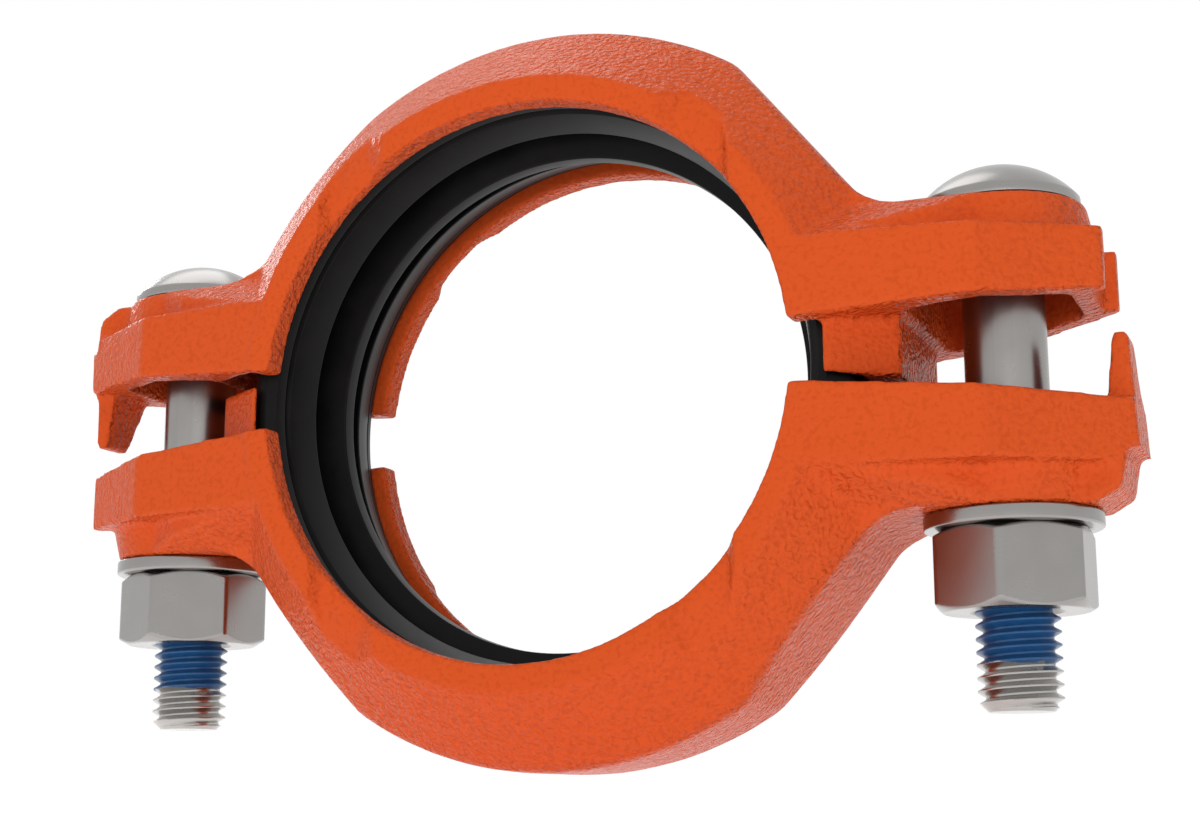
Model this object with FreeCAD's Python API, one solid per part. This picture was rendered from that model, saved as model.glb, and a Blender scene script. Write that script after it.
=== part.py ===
import FreeCAD
import Part
import math
import os

# Rigid grooved pipe coupling for 88.9 mm pipe, as delivered: two ductile iron housings held apart on
# two bolts, with the rubber gasket inside. X runs across the bolts, Y is the pipe axis and Z runs
# along the bolts. The origin is the centre of the bore, midway between the two housings.

# Pipe and groove
pipe_od = 88.9
key_clearance = 0.85
key_radius = pipe_od / 2 + key_clearance

# Ring of each housing, as radii about the pipe axis and half widths along it
housing_width = 45.0
key_width = 4.7
cavity_radius = 54.2
cavity_corner = 3.5
face_radius = 49.6
crown_wall = 7.5
crown_width = 20.0

# Seam between the housings
seam_gap = 9.4
seam_angle = 4.3

# Bolt pads
bolt_spacing = 147.0
seat_height = 23.7
skirt_height = 17.8
skirt_side_half = 19.2
skirt_corner_x = 73.2
pad_end_x = 90.0
pad_end_half = 8.6
boss_radius = 13.2
boss_draft = 12.0
boss_shoulder_half = 17.0
seat_half = 13.6
seat_clearance = 0.5

# Arms between the crown and the pads
arm_start_angle = 57.0
arm_slope = 51.3
arm_fillet = 11.0
arm_shoulder_z = 34.0

# Pocket under each pad
pocket_wall = 4.3
pocket_inner_x = 61.5
pocket_end_x = 84.6
pocket_roof_z = 14.6
pocket_corner = 2.0

# Tongue on one side of each housing and the recess that takes the other housing's tongue
tongue_reach = 3.5
tongue_side_wall = 3.2
tongue_nose_half = 12.4
tongue_nose_x = 60.2
tongue_clearance = 0.9
tongue_inner_x = 49.5

# Tab on the pad end that overlaps the other housing, and the slot that takes it
tab_reach = 2.1
tab_half = 5.2
tab_tip_far_y = 1.2
tab_inner_x = 88.9
tab_outer_x = 93.6
tab_tip_inner_x = 90.1
tab_tip_outer_x = 92.5
tab_top_z = 15.6
tab_clearance = 0.9
web_foot_x = 92.0
web_corner_x = 90.8
web_corner_z = 21.5
web_top_x = 87.0
web_half = 8.0

# Notches across both sides of the ring, which run along Z
notch_crown_x = 24.3
notch_pad_x = 36.4
notch_depth = 2.0
notch_slope = 1.6
notch_flat_radius = 48.0
notch_top_radius = 52.6

# Fasteners: 1/2 in, 13 threads per inch
bolt_diameter = 12.7
bolt_length = 76.9
bolt_end_chamfer = 1.5
head_radius = 12.4
head_rim = 1.4
head_height = 7.4
neck_length = 18.0
neck_depth = 5.0
neck_clearance = 0.5
hole_clearance = 0.75
washer_od = 27.0
washer_thickness = 2.4
washer_clearance = 0.5
nut_flats = 22.225
nut_height = 12.3
nut_chamfer_angle = 30.0
nut_thread_clearance = 0.05

# Gasket
gasket_side_gap = 0.8
gasket_outer_gap = 0.9
lip_radius = 44.5
lip_tip_y = 7.2
lip_knee_radius = 46.2
lip_knee_y = 13.3
mouth_radius = 48.6
lip_thickness = 2.0
leg_radius = 42.2
leg_half = 1.5
leg_root_half = 2.4
gasket_wall = 4.2
gasket_corner = 3.0

# Values that follow from the sizes above
crown_radius = cavity_radius + crown_wall
half_width = housing_width / 2
half_crown = crown_width / 2
half_gap = seam_gap / 2
tongue_root_half = half_width - tongue_side_wall
bolt_x = bolt_spacing / 2
cavity_half = half_width - key_width
gasket_half = cavity_half - gasket_side_gap
gasket_radius = cavity_radius - gasket_outer_gap
reach = pad_end_x + housing_width


def point(x, y, z):
    return FreeCAD.Vector(x, y, z)


def prism(points, direction):
    face = Part.Face(Part.makePolygon(points + points[:1]))
    return face.extrude(direction)


def prism_along_y(outline, half):
    """Solid with a front outline of (x, z) points, from -half to half along the pipe."""
    return prism([point(x, -half, z) for x, z in outline], point(0, 2 * half, 0))


def prism_along_z(outline, low, high):
    """Solid with a plan outline of (x, y) points, from low to high."""
    return prism([point(x, y, low) for x, y in outline], point(0, 0, high - low))


def mirrored_plan(outline):
    """Plan outline completed by its mirror image across the plane y = 0."""
    return outline + [(x, -y) for x, y in reversed(outline)]


def revolve_profile(profile):
    """Solid of revolution about the pipe axis from (radius, y) points."""
    points = [point(r, y, 0) for r, y in profile]
    face = Part.Face(Part.makePolygon(points + points[:1]))
    return face.revolve(point(0, 0, 0), point(0, 1, 0), 360)


def pipe_cylinder(radius, half):
    return Part.makeCylinder(radius, 2 * half, point(0, -half, 0), point(0, 1, 0))


def seam_z(x):
    return half_gap + (abs(x) - key_radius) * math.tan(math.radians(seam_angle))


def flip_x(shape):
    return shape.mirror(point(0, 0, 0), point(1, 0, 0))


def both_sides(shape):
    """The shape on the right side together with its mirror image on the left."""
    return shape.fuse(flip_x(shape))


def ring_blank():
    """Bevelled ring round the pipe, before its inside is cut."""
    half = [(key_radius, half_width), (face_radius, half_width), (crown_radius, half_crown)]
    return revolve_profile([(r, -y) for r, y in half] + list(reversed(half)))


def arm_outline():
    """Front outline of the arm and pad on the right: the crown corner, a slope and a flat seat."""
    start = math.radians(arm_start_angle)
    top_x = crown_radius * math.cos(start)
    top_z = crown_radius * math.sin(start)
    foot_x = top_x + (top_z - seat_height) / math.tan(math.radians(arm_slope))
    return [(0, 0), (pad_end_x, 0), (pad_end_x, seat_height),
            (foot_x, seat_height), (top_x, top_z), (0, top_z)]


def arm_blank():
    """Arm and pad on the right side, with the hollow between slope and seat rounded."""
    outline = arm_outline()
    foot_x, foot_z = outline[3]
    solid = prism_along_y(outline, half_width)
    foot = [e for e in solid.Edges if all(abs(v.X - foot_x) + abs(v.Z - foot_z) < 1e-6 for v in e.Vertexes)]
    return solid.makeFillet(arm_fillet, foot)


def crown_window():
    """Front outline that the ring keeps: the arms up to the crown corners, and all above them."""
    corner_z = crown_radius * math.sin(math.radians(arm_start_angle))
    above = Part.makeBox(2 * crown_radius, housing_width, crown_radius, point(-crown_radius, -half_width, corner_z))
    return both_sides(arm_blank()).fuse(above)


def arm_section():
    """Section of arm and pad across the bolts: upright skirt, bevel to the seat, then a narrow ridge."""
    half = [(half_width, 0), (half_width, skirt_height - 1), (seat_half, seat_height),
            (half_crown, arm_shoulder_z), (half_crown, crown_radius)]
    outline = half + [(-y, z) for y, z in reversed(half)]
    return prism([point(0, y, z) for y, z in outline], point(reach, 0, 0))


def skirt_plan():
    """Plan of the pad below the skirt edge: a slow taper, then a facet to the narrow end."""
    return mirrored_plan([(0, half_width), (key_radius, half_width), (skirt_corner_x, skirt_side_half),
                          (pad_end_x, pad_end_half)])


def boss_plan():
    """Plan of the pad above the skirt edge, which rounds the bolt head's seat."""
    return mirrored_plan([(0, half_width), (key_radius, half_width), (bolt_x - boss_radius / 2, boss_shoulder_half),
                          (bolt_x, boss_radius)])


def pad_envelope():
    """Space that the pad may fill, seen from above, below and above the skirt edge."""
    skirt = prism_along_z(skirt_plan(), 0, skirt_height)
    boss = prism_along_z(boss_plan(), skirt_height, crown_radius)
    boss_height = seat_height - skirt_height
    foot_radius = boss_radius + boss_height * math.tan(math.radians(boss_draft))
    boss_end = Part.makeCone(foot_radius, boss_radius, boss_height, point(bolt_x, 0, skirt_height))
    return skirt.fuse([boss, boss_end])


def skirt_end():
    """Low part of the pad beyond the boss."""
    plan = prism_along_z(skirt_plan(), 0, skirt_height)
    outer = Part.makeBox(pad_end_x, housing_width, skirt_height, point(bolt_x, -half_width, 0))
    return plan.common(outer)


def pad_blank():
    """One arm with its pad, on the right side."""
    arm = arm_blank().common(arm_section()).common(pad_envelope())
    return arm.fuse(skirt_end())


def seam_cut():
    """Everything below the seam, which opens outwards on both sides."""
    outline = [(-reach, -reach), (-reach, seam_z(reach)), (-key_radius, half_gap),
               (key_radius, half_gap), (reach, seam_z(reach)), (reach, -reach)]
    return prism_along_y(outline, housing_width)


def pocket():
    """Hollow under the right pad, a wall's thickness inside its plan."""
    facet = math.atan2(skirt_side_half - pad_end_half, pad_end_x - skirt_corner_x)
    corner_x = skirt_corner_x - pocket_wall * math.sin(facet) / 2
    corner_y = skirt_side_half - pocket_wall
    end_y = corner_y - (pocket_end_x - corner_x) * math.tan(facet)
    plan = mirrored_plan([(pocket_inner_x, corner_y), (corner_x, corner_y), (pocket_end_x, end_y)])
    solid = prism_along_z(plan, -housing_width, pocket_roof_z)
    upright = [e for e in solid.Edges if abs(e.tangentAt(e.FirstParameter).z) > 0.99]
    return solid.makeFillet(pocket_corner, upright)


def bolt_slot():
    """Oval hole through the right pad for the bolt's oval neck."""
    radius = bolt_diameter / 2 + hole_clearance
    offset = neck_length / 2 + neck_clearance - radius
    ends = [Part.makeCylinder(radius, 2 * seat_height, point(bolt_x + side * offset, 0, 0)) for side in (-1, 1)]
    middle = Part.makeBox(2 * offset, 2 * radius, 2 * seat_height, point(bolt_x - offset, -radius, 0))
    return middle.fuse(ends)


def spot_face():
    """Flat that the bolt head or washer sits on, clear of the arm."""
    radius = max(head_radius, washer_od / 2) + seat_clearance
    return Part.makeCylinder(radius, seat_height, point(bolt_x, 0, seat_height))


def tongue_plan(clearance):
    """Plan of the tongue on the right, narrowing outwards and grown by the clearance all round."""
    slope = (tongue_root_half - tongue_nose_half) / (tongue_nose_x - tongue_inner_x)
    side = clearance * math.sqrt(1 + slope ** 2)
    return mirrored_plan([(tongue_inner_x - clearance, tongue_root_half + side + slope * clearance),
                          (tongue_nose_x + clearance, tongue_nose_half + side - slope * clearance)])


def tongue():
    """Block on the right side that reaches across the seam into the other housing."""
    return prism_along_z(tongue_plan(0), -tongue_reach, seat_height / 2)


def recess():
    """Space on the left side for the other housing's tongue, at the closed position too."""
    depth = tongue_reach + seam_gap + tongue_clearance
    return flip_x(prism_along_z(tongue_plan(tongue_clearance), 0, depth))


def tab():
    """Tab on the left pad end: a wedge with an upright near edge and a sloping far edge."""
    front = [(tab_inner_x - pocket_wall, tab_top_z), (tab_outer_x, tab_top_z), (tab_tip_outer_x, -tab_reach),
             (tab_tip_inner_x, -tab_reach), (tab_inner_x, seam_z(tab_inner_x)),
             (tab_inner_x - pocket_wall, seam_z(tab_inner_x))]
    side = [(-tab_half, tab_top_z), (tab_half, tab_top_z), (tab_half, seam_z(tab_inner_x)),
            (tab_tip_far_y, -tab_reach), (-tab_half, -tab_reach)]
    wedge = prism_along_y(front, half_width)
    band = prism([point(0, y, z) for y, z in side], point(reach, 0, 0))
    return flip_x(wedge.common(band).fuse(tab_base()))


def facet_half(x):
    """Half width of the pad along its end facets, and along their continuation beyond its end."""
    return pad_end_half - (x - pad_end_x) * (skirt_side_half - pad_end_half) / (pad_end_x - skirt_corner_x)


def tab_base():
    """Root of the tab between the pad's facets carried on outwards, with a web from it up to the seat."""
    low = seam_z(tab_inner_x)
    lean = (tab_outer_x - tab_tip_outer_x) / (tab_top_z + tab_reach)
    root = prism_along_y([(bolt_x, low), (tab_outer_x - lean * (tab_top_z - low), low), (tab_outer_x, tab_top_z),
                          (bolt_x, tab_top_z)], half_width)
    web = prism_along_y([(bolt_x, tab_top_z), (web_foot_x, tab_top_z), (web_corner_x, web_corner_z),
                         (web_top_x, seat_height), (bolt_x, seat_height)], web_half)
    plan = mirrored_plan([(bolt_x, facet_half(bolt_x)), (tab_outer_x, facet_half(tab_outer_x))])
    return root.fuse(web).common(prism_along_z(plan, 0, seat_height))


def tab_slot():
    """Slot in the right pad end for the other housing's tab."""
    depth_x = tab_inner_x - tab_clearance
    half = tab_half + tab_clearance
    return Part.makeBox(pad_end_x, 2 * half, skirt_height, point(depth_x, -half, 0))


def cavity():
    """Space for the gasket, with bevelled corners."""
    half = [(0, cavity_half), (cavity_radius - cavity_corner, cavity_half), (cavity_radius, cavity_half - cavity_corner)]
    return revolve_profile(half + [(r, -y) for r, y in reversed(half)])


def side_notch():
    """Notch across the front of the ring on the right: a floor that rises past the bevel, between sloping ends."""
    front = -2 * half_width
    floor_y = notch_depth - half_width
    bevel = (half_width - half_crown) / (crown_radius - face_radius)
    top_y = (notch_top_radius - face_radius) * bevel - half_width
    space = revolve_profile([(0, front), (0, floor_y), (notch_flat_radius, floor_y), (notch_top_radius, top_y),
                             (notch_top_radius, front)])
    plan = [(notch_crown_x, -half_width), (notch_crown_x + notch_slope * notch_depth, floor_y),
            (notch_crown_x + notch_slope * notch_depth, 0), (notch_pad_x - notch_slope, 0),
            (notch_pad_x - notch_slope, floor_y), (notch_pad_x, -half_width), (notch_pad_x, front),
            (notch_crown_x, front)]
    return prism_along_z(plan, 0, crown_radius).common(space)


def side_notches():
    """Notches on both sides of the bore and on both faces of the ring."""
    pair = both_sides(side_notch())
    return pair.fuse(pair.mirror(point(0, 0, 0), point(0, 1, 0)))


def housing():
    """One housing with its crown up; both housings are this casting."""
    blank = ring_blank().common(crown_window()).fuse(both_sides(pad_blank()))
    body = blank.cut(seam_cut())
    body = body.fuse([tongue(), tab()])
    cuts = [pipe_cylinder(key_radius, housing_width), cavity(), both_sides(pocket()), both_sides(bolt_slot()),
            both_sides(spot_face()), recess(), tab_slot(), side_notches()]
    for cut in cuts:
        body = body.cut(cut)
    return body.removeSplitter()


def turned_over(shape):
    """The same piece turned half a turn about the pipe axis."""
    copy = shape.copy()
    copy.rotate(point(0, 0, 0), point(0, 1, 0), 180)
    return copy


def head_dome():
    """Domed head of the bolt, on the seat of the upper pad."""
    rim_z = seat_height + head_rim
    top_z = seat_height + head_height
    dome_height = head_height - head_rim
    dome_radius = (head_radius ** 2 + dome_height ** 2) / (2 * dome_height)
    turn = math.asin(head_radius / dome_radius) / 2
    middle = point(dome_radius * math.sin(turn), 0, top_z - dome_radius * (1 - math.cos(turn)))
    dome = Part.Arc(point(head_radius, 0, rim_z), middle, point(0, 0, top_z)).toShape()
    sides = Part.makePolygon([point(0, 0, top_z), point(0, 0, seat_height), point(head_radius, 0, seat_height),
                              point(head_radius, 0, rim_z)])
    face = Part.Face(Part.Wire([dome] + sides.Edges))
    return face.revolve(point(0, 0, 0), point(0, 0, 1), 360)


def oval_neck():
    """Oval neck under the head, which the oval hole keeps from turning."""
    radius = bolt_diameter / 2
    offset = neck_length / 2 - radius
    low = seat_height - neck_depth
    ends = [Part.makeCylinder(radius, neck_depth, point(side * offset, 0, low)) for side in (-1, 1)]
    middle = Part.makeBox(2 * offset, 2 * radius, neck_depth, point(-offset, -radius, low))
    return middle.fuse(ends)


def bolt():
    """Track bolt on the Z axis, with its shank plain over the length that is threaded."""
    radius = bolt_diameter / 2
    end_z = seat_height - bolt_length
    point_end = Part.makeCone(radius - bolt_end_chamfer, radius, bolt_end_chamfer, point(0, 0, end_z))
    shank = Part.makeCylinder(radius, bolt_length - bolt_end_chamfer, point(0, 0, end_z + bolt_end_chamfer))
    return shank.fuse([point_end, oval_neck(), head_dome()]).removeSplitter()


def washer():
    """Flat washer under the lower pad."""
    low = -seat_height - washer_thickness
    disc = Part.makeCylinder(washer_od / 2, washer_thickness, point(0, 0, low))
    hole = Part.makeCylinder(bolt_diameter / 2 + washer_clearance, washer_thickness, point(0, 0, low))
    return disc.cut(hole)


def nut():
    """Heavy hex nut below the washer, with flats facing along X and both faces chamfered."""
    top = -seat_height - washer_thickness
    low = top - nut_height
    corner = nut_flats / math.sqrt(3)
    hexagon = [(corner * math.sin(math.radians(60 * i)), corner * math.cos(math.radians(60 * i))) for i in range(6)]
    body = prism_along_z(hexagon, low, top)
    drop = (corner - nut_flats / 2) * math.tan(math.radians(nut_chamfer_angle))
    barrel = [(0, low), (nut_flats / 2, low), (corner, low + drop), (corner, top - drop),
              (nut_flats / 2, top), (0, top)]
    points = [point(r, 0, z) for r, z in barrel]
    turned = Part.Face(Part.makePolygon(points + points[:1])).revolve(point(0, 0, 0), point(0, 0, 1), 360)
    bore = Part.makeCylinder(bolt_diameter / 2 + nut_thread_clearance, nut_height, point(0, 0, low))
    return body.common(turned).cut(bore)


def gasket():
    """Rubber ring with a sealing lip each side and a leg between the two pipe ends."""
    half = [(mouth_radius, -gasket_half), (lip_knee_radius, -lip_knee_y), (lip_radius, -lip_tip_y),
            (lip_radius + lip_thickness, -lip_tip_y), (lip_knee_radius + lip_thickness, -lip_knee_y + lip_thickness),
            (gasket_radius - gasket_wall, -lip_knee_y + lip_thickness), (gasket_radius - gasket_wall, -leg_root_half),
            (leg_radius, -leg_half)]
    inner = half + [(r, -y) for r, y in reversed(half)]
    outer = [(gasket_radius - gasket_corner, gasket_half), (gasket_radius, gasket_half - gasket_corner),
             (gasket_radius, gasket_corner - gasket_half), (gasket_radius - gasket_corner, -gasket_half)]
    return revolve_profile(inner + outer)


def write(name, shape):
    shape.exportStep("parts/" + name + ".step")
    print(name, len(shape.Solids), "solids", round(shape.Volume), "mm3", "valid" if shape.isValid() else "broken")


os.makedirs("parts", exist_ok=True)
upper_housing = housing()
write("upper_housing", upper_housing)
write("lower_housing", turned_over(upper_housing))
write("gasket", gasket())
for side, place in (("left", -bolt_x), ("right", bolt_x)):
    for name, piece in (("bolt", bolt()), ("washer", washer()), ("nut", nut())):
        write(side + "_" + name, piece.translated(point(place, 0, 0)))
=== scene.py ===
import bpy
import bmesh
import math
from mathutils import Matrix, Vector

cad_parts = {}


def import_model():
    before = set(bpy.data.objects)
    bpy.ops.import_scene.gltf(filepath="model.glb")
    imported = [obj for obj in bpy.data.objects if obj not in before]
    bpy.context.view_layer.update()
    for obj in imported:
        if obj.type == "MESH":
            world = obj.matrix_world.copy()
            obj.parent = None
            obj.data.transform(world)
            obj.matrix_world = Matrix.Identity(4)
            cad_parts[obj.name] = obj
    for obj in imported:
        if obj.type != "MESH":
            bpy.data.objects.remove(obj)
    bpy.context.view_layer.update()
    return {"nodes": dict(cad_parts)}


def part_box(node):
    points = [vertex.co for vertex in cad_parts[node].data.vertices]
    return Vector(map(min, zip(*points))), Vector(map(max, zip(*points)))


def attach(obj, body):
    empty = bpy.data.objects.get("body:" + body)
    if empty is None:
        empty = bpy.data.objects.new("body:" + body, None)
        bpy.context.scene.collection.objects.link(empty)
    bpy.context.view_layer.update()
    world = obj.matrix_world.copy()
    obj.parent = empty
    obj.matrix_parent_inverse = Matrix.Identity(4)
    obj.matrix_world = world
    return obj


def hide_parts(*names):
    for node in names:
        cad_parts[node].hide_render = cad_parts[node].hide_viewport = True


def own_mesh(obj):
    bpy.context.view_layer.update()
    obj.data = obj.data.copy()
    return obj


# Grooved pipe coupling as delivered: orange cast housings, black rubber gasket and plated fasteners.
# Metres throughout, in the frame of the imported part.

MM = 0.001

# Camera: place, then turn to the left, tilt upwards and roll, in degrees
CAMERA_PLACE = (0.1274, -0.2900, -0.0671)
CAMERA_TURN = 22.76
CAMERA_TILT = 11.60
CAMERA_ROLL = -0.13
CAMERA_LENS = 57.71

# Cast skin of the housings
CAST_VOXEL = 0.52 * MM
CAST_SMOOTHING = 7
CROWN_SMOOTHING = 45
CAST_UNEVENNESS = 0.12 * MM
CAST_UNEVEN_SIZE = 5.0 * MM

# Crown of the upper housing: its extra smoothing grows between these radii and these heights
CROWN_RADIUS = (52.5 * MM, 56 * MM)
CROWN_HEIGHT = (25 * MM, 31 * MM)

# Grain of the sand casting: size and height of its lumps and pebbles
LUMP_SIZE = 1.8 * MM
LUMP_HEIGHT = 0.60 * MM
PEBBLE_SIZE = 0.80 * MM
PEBBLE_HEIGHT = 1.0 * MM

# Bolts: 1/2 in, 13 threads per inch
BOLT_RADIUS = 6.35 * MM
THREAD_PITCH = 1.954 * MM
THREAD_DEPTH = 1.15 * MM
THREAD_LENGTH = 38 * MM
THREAD_RUNOUT = 2.5 * MM
BOLT_SIDES = 96
NUT_SIDES = 192
WASHER_SIDES = 128
ROWS_PER_PITCH = 14
BOLT_POINT = 1.5 * MM
COATING_TOP = -36.0 * MM
COATING_END = -46.2 * MM

# Seat of the bolt head on the upper housing
SEAT_Z = 23.7 * MM

# Gasket: room round its heel, which is squeezed outwards as the housings close
SQUEEZE_ROOM = 0.45 * MM
GASKET_SIDES = 256

# Floor under the part, just below the camera
FLOOR_Z = -0.074
FLOOR_SIZE = 12.0

# Plain light of the world and the floor, and the glow that shows the floor white
WORLD_LIGHT = 0.27
FLOOR_LIGHT = 0.45
FLOOR_GLOW = 0.84

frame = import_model()
nodes = frame["nodes"]


def link(name, mesh):
    """New object in the scene holding the mesh."""
    thing = bpy.data.objects.new(name, mesh)
    bpy.context.scene.collection.objects.link(thing)
    return thing


def mesh_from_bmesh(name, bm):
    """Mesh with its doubles merged, its normals outwards and its faces shaded smooth."""
    bmesh.ops.remove_doubles(bm, verts=bm.verts, dist=1e-7)
    bmesh.ops.dissolve_degenerate(bm, dist=1e-7, edges=bm.edges)
    bmesh.ops.recalc_face_normals(bm, faces=bm.faces)
    for face in bm.faces:
        face.smooth = True
    mesh = bpy.data.meshes.new(name)
    bm.to_mesh(mesh)
    bm.free()
    return mesh


def baked_mesh(thing):
    """The object's mesh with its modifiers applied."""
    graph = bpy.context.evaluated_depsgraph_get()
    return bpy.data.meshes.new_from_object(thing.evaluated_get(graph), depsgraph=graph)


# Shader nodes

class Shader:
    """A material's node tree with short calls to add and join nodes."""

    def __init__(self, name):
        self.material = bpy.data.materials.new(name)
        self.material.use_nodes = True
        self.tree = self.material.node_tree
        self.tree.nodes.clear()
        out = self.add("ShaderNodeOutputMaterial")
        self.bsdf = self.add("ShaderNodeBsdfPrincipled")
        self.join(self.bsdf.outputs[0], out.inputs["Surface"])

    def add(self, kind, **settings):
        node = self.tree.nodes.new(kind)
        for key, value in settings.items():
            setattr(node, key, value)
        return node

    def join(self, source, target):
        self.tree.links.new(source, target)

    def math(self, operation, first, second):
        """Math node on two values, each a socket or a number."""
        node = self.add("ShaderNodeMath", operation=operation)
        for socket, value in zip(node.inputs, (first, second)):
            if isinstance(value, (int, float)):
                socket.default_value = value
            else:
                self.join(value, socket)
        return node.outputs[0]

    def place(self):
        """Object coordinates."""
        return self.add("ShaderNodeTexCoord").outputs["Object"]

    def noise(self, size, detail=2.0, distortion=0.0):
        """Noise between 0 and 1 whose lumps are about size metres across."""
        node = self.add("ShaderNodeTexNoise")
        node.inputs["Scale"].default_value = 1.0 / size
        node.inputs["Detail"].default_value = detail
        node.inputs["Distortion"].default_value = distortion
        self.join(self.place(), node.inputs["Vector"])
        return node.outputs["Fac"]

    def scale(self, value, low, high, from_low=0.0, from_high=1.0):
        """Value mapped from one range to another and held inside it."""
        node = self.add("ShaderNodeMapRange")
        node.inputs["From Min"].default_value = from_low
        node.inputs["From Max"].default_value = from_high
        node.inputs["To Min"].default_value = low
        node.inputs["To Max"].default_value = high
        self.join(value, node.inputs["Value"])
        return node.outputs["Result"]

    def blend(self, factor, first, second):
        """Colour mixed from first to second by a factor socket."""
        node = self.add("ShaderNodeMix", data_type="RGBA")
        self.join(factor, node.inputs["Factor"])
        for socket, colour in ((node.inputs[6], first), (node.inputs[7], second)):
            if isinstance(colour, tuple):
                socket.default_value = (*colour, 1.0)
            else:
                self.join(colour, socket)
        return node.outputs[2]

    def bump(self, height, distance, strength=1.0, below=None):
        """Normal bumped by a height from 0 to 1 times the distance, over another normal."""
        node = self.add("ShaderNodeBump")
        node.inputs["Distance"].default_value = distance
        if isinstance(strength, (int, float)):
            node.inputs["Strength"].default_value = strength
        else:
            self.join(strength, node.inputs["Strength"])
        self.join(height, node.inputs["Height"])
        if below is not None:
            self.join(below, node.inputs["Normal"])
        return node.outputs["Normal"]

    def set(self, **values):
        """Numbers and sockets for the shader's inputs, with _ for a space in a name."""
        for key, value in values.items():
            socket = self.bsdf.inputs[key.replace("_", " ")]
            if isinstance(value, bpy.types.NodeSocket):
                self.join(value, socket)
            else:
                socket.default_value = value


def painted_cast_iron():
    """Satin orange enamel over a sand casting: pebbled, but smoother on the flat sides of the ring, with
    painted shade in the low spots of the pebbles.
    """
    shader = Shader("orange_cast_paint")
    sides = shader.add("ShaderNodeSeparateXYZ")
    shader.join(shader.add("ShaderNodeTexCoord").outputs["Normal"], sides.inputs[0])
    facing = shader.math("ABSOLUTE", sides.outputs["Y"], 0.0)
    grain_strength = shader.scale(facing, 1.0, 0.15, 0.50, 0.97)
    lumps = shader.noise(LUMP_SIZE, detail=1.0, distortion=0.3)
    pebbles = shader.noise(PEBBLE_SIZE, detail=0.6, distortion=0.4)
    coarse = shader.bump(lumps, LUMP_HEIGHT, grain_strength)
    fine = shader.bump(pebbles, PEBBLE_HEIGHT, grain_strength, below=coarse)
    # Painted shade: the colour darkens where the pebbles are low, as if shade fell into their pits.
    pits = shader.scale(pebbles, 1.0, 0.0, 0.30, 0.50)
    colour = shader.blend(pits, (0.735, 0.098, 0.019), (0.670, 0.086, 0.016))
    shader.set(Base_Color=colour, Roughness=0.27, Specular_IOR_Level=0.07, Normal=fine)
    return shader.material


def moulded_rubber():
    """Near-black moulded rubber with a faint bloom."""
    shader = Shader("black_gasket_rubber")
    bloom = shader.noise(6 * MM, detail=4.0)
    skin = shader.noise(0.35 * MM, detail=2.0)
    patches = shader.scale(bloom, 0.0, 1.0, 0.35, 0.7)
    colour = shader.blend(patches, (0.0050, 0.0048, 0.0048), (0.0080, 0.0076, 0.0074))
    shine = shader.scale(bloom, 0.34, 0.40, 0.3, 0.7)
    shader.set(Base_Color=colour, Roughness=shine, Specular_IOR_Level=0.11)
    shader.set(Normal=shader.bump(skin, 0.01 * MM, 0.5))
    return shader.material


def steel(shader):
    """Satin plated steel set on the shader: even grey with faint blotches and fine pits."""
    blotch = shader.noise(5 * MM, detail=4.0)
    pits = shader.noise(0.25 * MM, detail=2.0)
    tint = (0.290, 0.280, 0.270)
    paler = tuple(1.04 * x for x in tint)
    colour = shader.blend(shader.scale(blotch, 0.0, 1.0, 0.35, 0.65), tint, paler)
    shine = shader.scale(blotch, 0.25, 0.28, 0.3, 0.7)
    shader.set(Base_Color=colour, Roughness=shine, Metallic=1.0, Normal=shader.bump(pits, 0.004 * MM, 0.3))
    return colour, shine


def plated_steel():
    """Plated steel of the washers and nuts."""
    shader = Shader("plated_steel")
    steel(shader)
    return shader.material


def bolt_steel():
    """Plated steel with a blue locking coat on the thread, which stays bare at its end, where a paler grey is
    painted on as a sheen.
    """
    shader = Shader("bolt_steel")
    colour, shine = steel(shader)
    place = shader.add("ShaderNodeSeparateXYZ")
    shader.join(shader.place(), place.inputs[0])
    ragged = shader.math("MULTIPLY", shader.noise(2.2 * MM, detail=3.0), 1.6 * MM)
    height = shader.math("ADD", place.outputs["Z"], ragged)
    edge = COATING_END + 0.8 * MM
    coat = shader.scale(height, 0.0, 1.0, edge - 0.12 * MM, edge + 0.12 * MM)
    below = shader.math("LESS_THAN", place.outputs["Z"], COATING_TOP)
    coat = shader.math("MULTIPLY", coat, below)
    streak = shader.noise(1.2 * MM, detail=3.0)
    blue = shader.blend(streak, (0.009, 0.050, 0.16), (0.014, 0.105, 0.27))
    # Painted sheen: below the coat the bare thread gets a paler grey, standing in for brighter reflections on
    # its crests.
    painted_sheen = shader.scale(place.outputs["Z"], 1.0, 0.0, COATING_END - 0.5 * MM, COATING_END + 0.5 * MM)
    bare = shader.blend(painted_sheen, colour, (0.40, 0.39, 0.375))
    shader.set(Base_Color=shader.blend(coat, bare, blue))
    shader.set(Metallic=shader.math("SUBTRACT", 1.0, coat))
    shader.set(Roughness=shader.math("ADD", shine, shader.math("MULTIPLY", coat, 0.06)))
    return shader.material


# Housings

def ramp(value, low, high):
    """0 below the low value, 1 above the high one."""
    return min(1.0, max(0.0, (value - low) / (high - low)))


def soften_crown(thing):
    """More smoothing over the crown and arms, whose edges are rounder than the edges of the pads."""
    steps = 10
    levels = [[] for _ in range(steps + 1)]
    for vertex in thing.data.vertices:
        x, _, z = vertex.co
        share = ramp(math.hypot(x, z), *CROWN_RADIUS) * ramp(z, *CROWN_HEIGHT)
        levels[round(share * steps)].append(vertex.index)
    group = thing.vertex_groups.new(name="crown")
    for level, members in enumerate(levels):
        group.add(members, level / steps, "REPLACE")
    smooth = thing.modifiers.new("crown", "SMOOTH")
    smooth.factor = 0.5
    smooth.iterations = CROWN_SMOOTHING
    smooth.vertex_group = group.name


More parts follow.
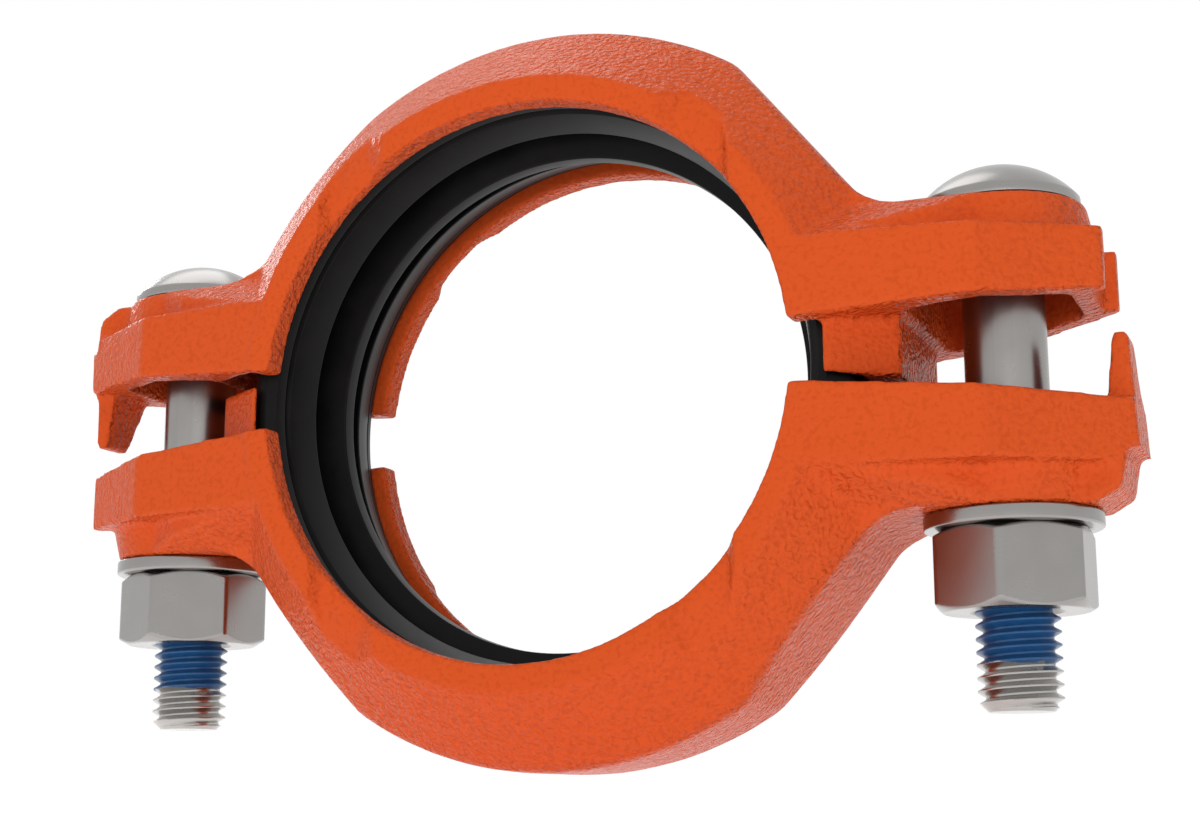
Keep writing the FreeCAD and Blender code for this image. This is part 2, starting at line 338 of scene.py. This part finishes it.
def cast_skin(node, name):
    """Housing mesh with every edge rounded as a casting's are, and its faces a little uneven."""
    bm = bmesh.new()
    bm.from_mesh(nodes[node].data)
    rough = link(name + "_rough", mesh_from_bmesh(name + "_rough", bm))
    remesh = rough.modifiers.new("voxels", "REMESH")
    remesh.mode = "VOXEL"
    remesh.voxel_size = CAST_VOXEL
    smooth = rough.modifiers.new("edges", "SMOOTH")
    smooth.factor = 0.5
    smooth.iterations = CAST_SMOOTHING
    texture = bpy.data.textures.new(name + "_unevenness", "CLOUDS")
    texture.noise_scale = CAST_UNEVEN_SIZE
    uneven = rough.modifiers.new("unevenness", "DISPLACE")
    uneven.texture = texture
    uneven.texture_coords = "LOCAL"
    uneven.mid_level = 1.0
    uneven.strength = CAST_UNEVENNESS
    soft = link(name + "_soft", baked_mesh(rough))
    soften_crown(soft)
    mesh = baked_mesh(soft)
    bpy.data.objects.remove(rough)
    bpy.data.objects.remove(soft)
    mesh.shade_smooth()
    return mesh


def housings():
    """Both castings. The lower one is the upper one turned over about the pipe axis."""
    upper = link("upper_casting", cast_skin("upper_housing", "upper_casting"))
    mesh = upper.data.copy()
    mesh.transform(Matrix.Rotation(math.pi, 4, "Y"))
    lower = link("lower_casting", mesh)
    paint = painted_cast_iron()
    for piece, node, body in ((upper, "upper_housing", "upper_body"), (lower, "lower_housing", "lower_body")):
        piece.data.materials.clear()
        piece.data.materials.append(paint)
        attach(piece, body)
        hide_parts(node)


# Turned pieces

def circle(radius):
    """The same radius at every angle."""
    return lambda angle: radius


def add_rings(bm, rings, sides, centre_x, closed=False):
    """Skin over rings, each (radius as a function of the angle, z). Returns the rings' vertices."""
    rows = []
    for radius, z in rings:
        row = []
        for i in range(sides):
            angle = 2 * math.pi * i / sides
            r = radius(angle)
            row.append(bm.verts.new((centre_x + r * math.cos(angle), r * math.sin(angle), z)))
        rows.append(row)
    pairs = list(zip(rows, rows[1:]))
    if closed:
        pairs.append((rows[-1], rows[0]))
    for low, high in pairs:
        for i in range(sides):
            j = (i + 1) % sides
            bm.faces.new((low[i], low[j], high[j], high[i]))
    return rows


def thread_radius(major, phase):
    """Radius of the 60 degree thread at a phase of its pitch, crest at 0, with small flats."""
    away = abs((phase + 0.5) % 1.0 - 0.5) * 2
    crest, root = 0.12, 0.80
    return major - THREAD_DEPTH * ramp(away, crest, root)


def add_thread(bm, major, low, high, centre_x):
    """Right-hand thread from low to high whose rows follow the helix, pointed below and run out above."""
    turns = math.ceil((high - low) / THREAD_PITCH) + 1
    count = turns * ROWS_PER_PITCH
    columns = []
    for j in range(BOLT_SIDES + 1):
        angle = 2 * math.pi * j / BOLT_SIDES
        column = []
        for i in range(count + 1):
            phase = i / ROWS_PER_PITCH
            z = low - THREAD_PITCH + THREAD_PITCH * (phase + j / BOLT_SIDES)
            z = min(high, max(low, z))
            fade = ramp(high - z, 0.0, THREAD_RUNOUT)
            radius = major - (major - thread_radius(major, phase)) * fade
            point = major - BOLT_POINT + (z - low)
            radius = min(radius, point)
            column.append(bm.verts.new((centre_x + radius * math.cos(angle), radius * math.sin(angle), z)))
        columns.append(column)
    for left, right in zip(columns, columns[1:]):
        for i in range(count):
            bm.faces.new((left[i], right[i], right[i + 1], left[i + 1]))


def bolt_mesh(node, name):
    """Bolt with a domed head, an oval neck, a plain shank and a right-hand thread."""
    low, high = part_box(node)
    centre_x = (low.x + high.x) / 2
    major = BOLT_RADIUS
    head_radius = (high.x - low.x) / 2
    bm = bmesh.new()
    thread_top = low.z + THREAD_LENGTH
    add_thread(bm, major, low.z, thread_top, centre_x)
    neck_low = SEAT_Z - 5.0 * MM
    neck_half = 9.0 * MM

    def oval(angle):
        """Radius of the oval neck: two half circles joined by flats."""
        offset = neck_half - major
        c, s = abs(math.cos(angle)), abs(math.sin(angle))
        if offset * s >= major * c:
            return major / s
        flat = major / s if s > 1e-9 else 1.0
        if flat * c <= offset:
            return flat
        return offset * c + math.sqrt(major ** 2 - (offset * s) ** 2)

    rim_z = SEAT_Z + 1.4 * MM
    apex_z = high.z
    rise = apex_z - rim_z
    rings = [(circle(major), thread_top), (circle(major), neck_low - 0.4 * MM), (circle(major), neck_low),
             (oval, neck_low + 0.3 * MM), (oval, SEAT_Z), (circle(head_radius - 0.4 * MM), SEAT_Z),
             (circle(head_radius - 0.1 * MM), SEAT_Z + 0.15 * MM), (circle(head_radius), SEAT_Z + 0.5 * MM),
             (circle(head_radius), rim_z)]
    steps = 26
    dome = (head_radius ** 2 + rise ** 2) / (2 * rise)
    full = math.asin(head_radius / dome)
    for i in range(1, steps):
        turn = full * (1 - i / steps)
        rings.append((circle(dome * math.sin(turn)), apex_z - dome * (1 - math.cos(turn))))
    rows = add_rings(bm, rings, BOLT_SIDES, centre_x)
    top = bm.verts.new((centre_x, 0, apex_z))
    for i in range(BOLT_SIDES):
        bm.faces.new((rows[-1][i], rows[-1][(i + 1) % BOLT_SIDES], top))
    end = [(circle(major - BOLT_POINT), low.z), (circle(major - BOLT_POINT - 0.3 * MM), low.z),
           (circle(2 * MM), low.z)]
    rows = add_rings(bm, end, BOLT_SIDES, centre_x)
    bottom = bm.verts.new((centre_x, 0, low.z))
    for i in range(BOLT_SIDES):
        bm.faces.new((rows[-1][(i + 1) % BOLT_SIDES], rows[-1][i], bottom))
    return mesh_from_bmesh(name, bm)


def soft_least(first, second, width):
    """Lesser of two lengths with a rounded corner between them."""
    blend = max(width - abs(first - second), 0.0) / width
    return min(first, second) - blend * blend * width / 4


def nut_mesh(node, name):
    """Heavy hex nut with both faces chamfered and a countersunk bore."""
    low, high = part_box(node)
    centre_x = (low.x + high.x) / 2
    half_flat = (high.x - low.x) / 2
    corner = half_flat / math.cos(math.pi / 6)
    height = high.z - low.z

    def side(z):
        """Radius as a function of the angle at a height above the low face."""
        near = min(z, height - z)
        chamfer = half_flat - 0.3 * MM + (near + 0.08 * MM) / math.tan(math.radians(30))

        def radius(angle):
            off = (angle + math.pi / 6) % (math.pi / 3) - math.pi / 6
            flat = half_flat / math.cos(off)
            flat = soft_least(flat, corner - 0.08 * MM, 0.16 * MM)
            return soft_least(flat, chamfer, 0.2 * MM)
        return radius

    bm = bmesh.new()
    heights = [0, 0.08, 0.2, 0.35, 0.5, 0.7, 0.95, 1.2, 1.5, 1.9, 2.4, 3.2, 4.5, 6.15]
    heights = [x * MM for x in heights] + [height - x * MM for x in reversed(heights[:-1])]
    rings = [(side(z), low.z + z) for z in heights]
    bore = BOLT_RADIUS + 0.05 * MM
    lead = 0.7 * MM
    land = half_flat - 1.2 * MM
    inner = [(circle(land), high.z), (circle(bore + lead), high.z), (circle(bore), high.z - lead),
             (circle(bore), low.z + lead), (circle(bore + lead), low.z), (circle(land), low.z)]
    add_rings(bm, rings + inner, NUT_SIDES, centre_x, closed=True)
    return mesh_from_bmesh(name, bm)


def washer_mesh(node, name):
    """Stamped flat washer with curled outer edges."""
    low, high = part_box(node)
    centre_x = (low.x + high.x) / 2
    outer = (high.x - low.x) / 2
    inner = BOLT_RADIUS + 0.5 * MM
    roll = 0.45 * MM
    bm = bmesh.new()
    rings = [(circle(inner + 0.2 * MM), low.z)]
    for i in range(6):
        turn = math.pi / 2 * i / 5
        rings.append((circle(outer - roll + roll * math.sin(turn)), low.z + roll * (1 - math.cos(turn))))
    for i in range(6):
        turn = math.pi / 2 * i / 5
        rings.append((circle(outer - roll + roll * math.cos(turn)), high.z - roll * (1 - math.sin(turn))))
    rings += [(circle(inner + 0.2 * MM), high.z), (circle(inner), high.z - 0.2 * MM),
              (circle(inner), low.z + 0.2 * MM)]
    add_rings(bm, rings, WASHER_SIDES, centre_x, closed=True)
    return mesh_from_bmesh(name, bm)


def sharp_by_angle(piece, degrees):
    """Smooth shading that keeps edges sharper than the angle."""
    bpy.context.view_layer.objects.active = piece
    piece.select_set(True)
    bpy.ops.object.shade_smooth_by_angle(angle=math.radians(degrees))
    piece.select_set(False)


def fasteners():
    """Bolt, washer and nut on each side."""
    coated = bolt_steel()
    plain = plated_steel()
    kinds = (("bolt", bolt_mesh, coated, "upper_body"), ("washer", washer_mesh, plain, "lower_body"),
             ("nut", nut_mesh, plain, None))
    for side in ("left", "right"):
        for kind, build, material, body in kinds:
            node = side + "_" + kind
            piece = link(node + "_finished", build(node, node + "_finished"))
            piece.data.materials.append(material)
            sharp_by_angle(piece, 40)
            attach(piece, body or node + "_body")
            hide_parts(node)


# Gasket

def rounded(profile, radius, steps=4):
    """Closed outline of (radius, y) points with every corner rounded."""
    points = []
    count = len(profile)
    for i in range(count):
        before, here, after = (Vector(profile[(i + k) % count]) for k in (-1, 0, 1))
        into, out = here - before, after - here
        turn = into.angle(out)
        if turn < 0.02:
            points.append(here)
            continue
        cut = min(radius * math.tan(turn / 2), 0.45 * into.length, 0.45 * out.length)
        start, end = here - into.normalized() * cut, here + out.normalized() * cut
        for k in range(steps + 1):
            t = k / steps
            points.append(start * (1 - t) ** 2 + here * 2 * t * (1 - t) + end * t * t)
    return points


def gasket_mesh():
    """Rubber ring: outer heel, a sealing lip each side and a leg between the pipe ends."""
    low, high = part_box("gasket")
    outer = high.x - SQUEEZE_ROOM
    half = high.y
    lip = [(48.6, 0.0), (47.1, -1.0), (46.6, -2.9), (47.2, -3.1), (47.2, -3.5), (46.2, -3.8), (44.5, -9.8),
           (46.5, -9.8), (48.2, -5.7), (49.1, -5.7)]
    side = [(r * MM, y * MM) for r, y in lip]
    profile = [(side[0][0], -half)] + [(r, -half - y) for r, y in side[1:]]
    profile += [(49.1 * MM, -2.4 * MM), (42.2 * MM, -1.5 * MM)]
    profile += [(r, -y) for r, y in reversed(profile)]
    heel = 3.0 * MM
    profile += [(outer - heel, half), (outer, half - heel), (outer, heel - half), (outer - heel, -half)]
    outline = rounded(profile, 0.35 * MM)
    bm = bmesh.new()
    rows = []
    for i in range(GASKET_SIDES):
        angle = 2 * math.pi * i / GASKET_SIDES
        rows.append([bm.verts.new((r * math.cos(angle), y, r * math.sin(angle))) for r, y in outline])
    for i in range(GASKET_SIDES):
        here, there = rows[i], rows[(i + 1) % GASKET_SIDES]
        for k in range(len(outline)):
            m = (k + 1) % len(outline)
            bm.faces.new((here[k], here[m], there[m], there[k]))
    return mesh_from_bmesh("gasket_rubber", bm)


def gasket():
    """Gasket with its own mesh, carried with the lower housing."""
    piece = link("gasket_moulding", gasket_mesh())
    piece.data.materials.append(moulded_rubber())
    sharp_by_angle(piece, 35)
    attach(piece, "lower_body")
    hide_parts("gasket")
    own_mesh(piece)


# Studio

def ray_switch(tree, *outputs):
    """1 for rays of any of the Light Path outputs named, else 0."""
    path = tree.nodes.new("ShaderNodeLightPath")
    total = path.outputs[outputs[0]]
    for name in outputs[1:]:
        both = tree.nodes.new("ShaderNodeMath")
        both.operation = "MAXIMUM"
        tree.links.new(total, both.inputs[0])
        tree.links.new(path.outputs[name], both.inputs[1])
        total = both.outputs[0]
    return total


def world():
    """White to the eye and in reflections, plain grey as a light."""
    studio = bpy.data.worlds.new("studio")
    bpy.context.scene.world = studio
    studio.use_nodes = True
    tree = studio.node_tree
    tree.nodes.clear()
    out = tree.nodes.new("ShaderNodeOutputWorld")
    shown = tree.nodes.new("ShaderNodeBackground")
    shown.inputs["Strength"].default_value = 1.0
    light = tree.nodes.new("ShaderNodeBackground")
    light.inputs["Strength"].default_value = WORLD_LIGHT
    mix = tree.nodes.new("ShaderNodeMixShader")
    for background in (shown, light):
        background.inputs["Color"].default_value = (1, 1, 1, 1)
    tree.links.new(ray_switch(tree, "Is Camera Ray", "Is Glossy Ray", "Is Transmission Ray"), mix.inputs[0])
    tree.links.new(light.outputs[0], mix.inputs[1])
    tree.links.new(shown.outputs[0], mix.inputs[2])
    tree.links.new(mix.outputs[0], out.inputs["Surface"])


def floor():
    """White floor that keeps a pale shadow."""
    bm = bmesh.new()
    half = FLOOR_SIZE / 2
    corners = ((-half, -half), (half, -half), (half, half), (-half, half))
    bm.faces.new([bm.verts.new((x, y, FLOOR_Z)) for x, y in corners])
    piece = link("floor", mesh_from_bmesh("floor", bm))
    material = bpy.data.materials.new("floor")
    material.use_nodes = True
    tree = material.node_tree
    tree.nodes.clear()
    out = tree.nodes.new("ShaderNodeOutputMaterial")
    diffuse = tree.nodes.new("ShaderNodeBsdfDiffuse")
    diffuse.inputs["Color"].default_value = (0.85, 0.85, 0.85, 1)
    glow = tree.nodes.new("ShaderNodeEmission")
    glow.inputs["Strength"].default_value = FLOOR_GLOW
    faint = tree.nodes.new("ShaderNodeEmission")
    faint.inputs["Strength"].default_value = FLOOR_LIGHT
    mix = tree.nodes.new("ShaderNodeMixShader")
    tree.links.new(ray_switch(tree, "Is Camera Ray", "Is Glossy Ray", "Is Transmission Ray"), mix.inputs[0])
    for emission, target in ((faint, mix.inputs[1]), (glow, mix.inputs[2])):
        both = tree.nodes.new("ShaderNodeAddShader")
        tree.links.new(diffuse.outputs[0], both.inputs[0])
        tree.links.new(emission.outputs[0], both.inputs[1])
        tree.links.new(both.outputs[0], target)
    tree.links.new(mix.outputs[0], out.inputs["Surface"])
    piece.data.materials.append(material)


def lamp(name, place, size, watts, reflected=True):
    """Square soft box at a place, turned towards the part, and seen in its reflections or not."""
    data = bpy.data.lights.new(name, "AREA")
    data.shape = "SQUARE"
    data.size = size
    data.energy = watts
    thing = bpy.data.objects.new(name, data)
    bpy.context.scene.collection.objects.link(thing)
    thing.location = place
    thing.rotation_euler = (-Vector(place)).to_track_quat("-Z", "Y").to_euler()
    thing.visible_glossy = reflected


def lamps():
    """Soft boxes above, in front and far to the left, as place in metres, size and watts."""
    lamp("key", (-0.30, 0.20, 0.72), 0.50, 1.2)
    lamp("top", (-0.10, -0.28, 0.74), 0.35, 1.8, reflected=False)
    lamp("fill", (0.30, -0.69, 0.02), 0.30, 1.75, reflected=False)
    lamp("back", (-0.74, 0.45, 0.42), 0.20, 0.75)


def camera():
    """Camera at the photo's viewing angle."""
    data = bpy.data.cameras.new("camera")
    data.sensor_width = 36.0
    data.lens = CAMERA_LENS
    data.clip_start = 0.01
    thing = bpy.data.objects.new("camera", data)
    bpy.context.scene.collection.objects.link(thing)
    turn = Matrix.Rotation(math.radians(CAMERA_TURN), 4, "Z")
    tilt = Matrix.Rotation(math.radians(90 + CAMERA_TILT), 4, "X")
    roll = Matrix.Rotation(math.radians(CAMERA_ROLL), 4, "Z")
    thing.matrix_world = Matrix.Translation(CAMERA_PLACE) @ turn @ tilt @ roll
    bpy.context.scene.camera = thing


camera()
housings()
gasket()
fasteners()
world()
floor()
lamps()
bpy.context.scene.view_settings.view_transform = "Standard"
